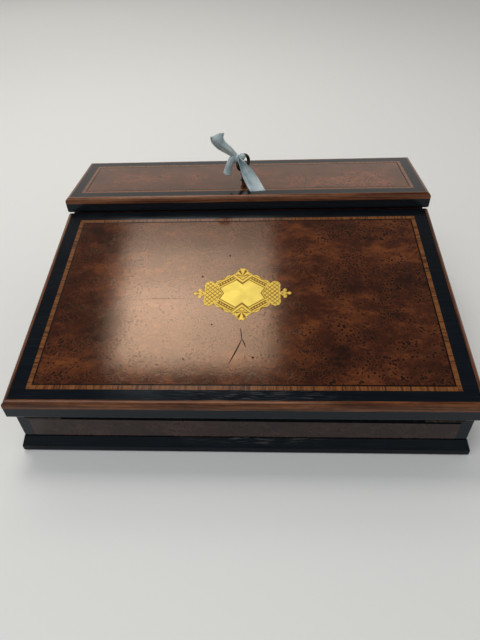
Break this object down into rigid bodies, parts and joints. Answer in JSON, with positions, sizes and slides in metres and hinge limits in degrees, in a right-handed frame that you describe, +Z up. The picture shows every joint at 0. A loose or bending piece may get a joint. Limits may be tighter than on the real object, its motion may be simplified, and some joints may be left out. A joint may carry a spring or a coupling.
{
  "type": "portable writing slope",
  "caption": "Low veneered case with a sloping lid that folds forward over a paper well, and a flat lid with key lock over a pen and ink compartment.",
  "frame": {"origin": "under the middle of the case, on the plane it stands on", "axes": "+X to the right and along the hinges, +Y to the back, +Z up"},
  "size_m": [0.35, 0.294, 0.1709],
  "materials": {
    "bottom_board": "polished",
    "front_wall": "polished",
    "left_wall": "polished",
    "right_wall": "polished",
    "divider": "polished",
    "compartment_floor": "polished",
    "partitions": "polished",
    "pen_tray": "polished",
    "back_wall": "ebonised polish",
    "plinth_front": "ebonised polish",
    "plinth_right": "ebonised polish",
    "plinth_back": "ebonised polish",
    "plinth_left": "ebonised polish",
    "corner_bands": "ebonised polish",
    "slope_border": "ebonised polish",
    "rear_border": "ebonised polish",
    "slope_rim_front": "ebonised polish",
    "slope_rim_left": "ebonised polish",
    "slope_rim_right": "ebonised polish",
    "slope_rim_rear": "ebonised polish",
    "rear_rim_front": "ebonised polish",
    "rear_rim_right": "ebonised polish",
    "rear_rim_back": "ebonised polish",
    "rear_rim_left": "ebonised polish",
    "front_veneer": "french polished burr veneer",
    "left_veneer": "french polished burr veneer",
    "right_veneer": "french polished burr veneer",
    "slope_burr": "french polished burr veneer",
    "rear_burr": "french polished burr veneer",
    "slope_edge": "french polished cross-grain veneer",
    "rear_edge": "french polished cross-grain veneer",
    "slope_crossband": "french polished cross-grain veneer",
    "rear_crossband": "french polished cross-grain veneer",
    "slope_stringing": "polished",
    "rear_stringing": "polished",
    "slope_core": "planed",
    "rear_core": "planed",
    "well_lining": "matt",
    "writing_leather": "tooled leather",
    "ink_bottle_left": "clear cut glass",
    "ink_bottle_right": "clear cut glass",
    "ink_cap_left": "polished brass",
    "ink_cap_right": "polished brass",
    "brass_cartouche": "polished brass",
    "escutcheon": "polished brass",
    "lock_plate": "polished brass",
    "lock_case": "polished brass",
    "strike_plate": "polished brass",
    "slope_hinge_case_leaves": "polished brass",
    "slope_hinge_lid_leaves": "polished brass",
    "rear_hinge_case_leaves": "polished brass",
    "rear_hinge_lid_leaves": "polished brass",
    "lock_bolt": "brushed brass",
    "key": "worn steel",
    "hinge_pins": "worn steel",
    "case_screws": "worn steel",
    "slope_lid_screws": "worn steel",
    "rear_lid_screws": "worn steel",
    "key_ribbon": "satin ribbon"
  },
  "bodies": {
    "case": {"bottom_board": "bottom_board", "front_wall": "front_wall", "left_wall": "left_wall", "right_wall": "right_wall", "divider": "divider", "compartment_floor": "compartment_floor", "partitions": "partitions", "pen_tray": "pen_tray", "back_wall": "back_wall", "plinth_front": "plinth_front", "plinth_right": "plinth_right", "plinth_back": "plinth_back", "plinth_left": "plinth_left", "corner_bands": "corner_bands", "front_veneer": "front_veneer", "left_veneer": "left_veneer", "right_veneer": "right_veneer", "well_lining": "well_lining", "ink_bottle_left": "ink_bottle_left", "ink_bottle_right": "ink_bottle_right", "ink_cap_left": "ink_cap_left", "ink_cap_right": "ink_cap_right", "strike_plate": "strike_plate", "slope_hinge_case_leaves": "slope_hinge_case_leaves", "rear_hinge_case_leaves": "rear_hinge_case_leaves", "hinge_pins": "hinge_pins", "case_screws": "case_screws"},
    "slope_lid": {"slope_core": "slope_core", "slope_burr": "slope_burr", "slope_stringing": "slope_stringing", "slope_crossband": "slope_crossband", "slope_border": "slope_border", "slope_edge": "slope_edge", "slope_rim_front": "slope_rim_front", "slope_rim_left": "slope_rim_left", "slope_rim_right": "slope_rim_right", "slope_rim_rear": "slope_rim_rear", "brass_cartouche": "brass_cartouche", "writing_leather": "writing_leather", "slope_hinge_lid_leaves": "slope_hinge_lid_leaves", "slope_lid_screws": "slope_lid_screws"},
    "rear_lid": {"rear_core": "rear_core", "rear_burr": "rear_burr", "rear_stringing": "rear_stringing", "rear_crossband": "rear_crossband", "rear_border": "rear_border", "rear_edge": "rear_edge", "rear_rim_front": "rear_rim_front", "rear_rim_right": "rear_rim_right", "rear_rim_back": "rear_rim_back", "rear_rim_left": "rear_rim_left", "escutcheon": "escutcheon", "lock_plate": "lock_plate", "lock_case": "lock_case", "rear_hinge_lid_leaves": "rear_hinge_lid_leaves", "rear_lid_screws": "rear_lid_screws"},
    "key": {"key": "key", "key_ribbon": "key_ribbon"},
    "bolt": {"lock_bolt": "lock_bolt"}
  },
  "joints": [
    {"name": "slope_lid_hinge", "type": "hinge", "parent": "case", "child": "slope_lid", "pos_m": [0, -0.1451, 0.04095], "axis": [1, 0, 0], "range_deg": [0, 173]},
    {"name": "rear_lid_hinge", "type": "hinge", "parent": "case", "child": "rear_lid", "pos_m": [0, 0.1451, 0.10525], "axis": [-1, 0, 0], "range_deg": [0, 105]},
    {"name": "key_turn", "type": "hinge", "parent": "rear_lid", "child": "key", "pos_m": [-0.002, 0.0932, 0.12], "axis": [0, 0, -1], "range_deg": [0, 90]},
    {"name": "bolt_slide", "type": "slide", "parent": "rear_lid", "child": "bolt", "axis": [0, -1, 0], "range_m": [0, 0.00735]}
  ],
  "couplings": [
    {"joint": "bolt_slide", "follows": "key_turn", "m_per_rad": 0.0046817}
  ]
}
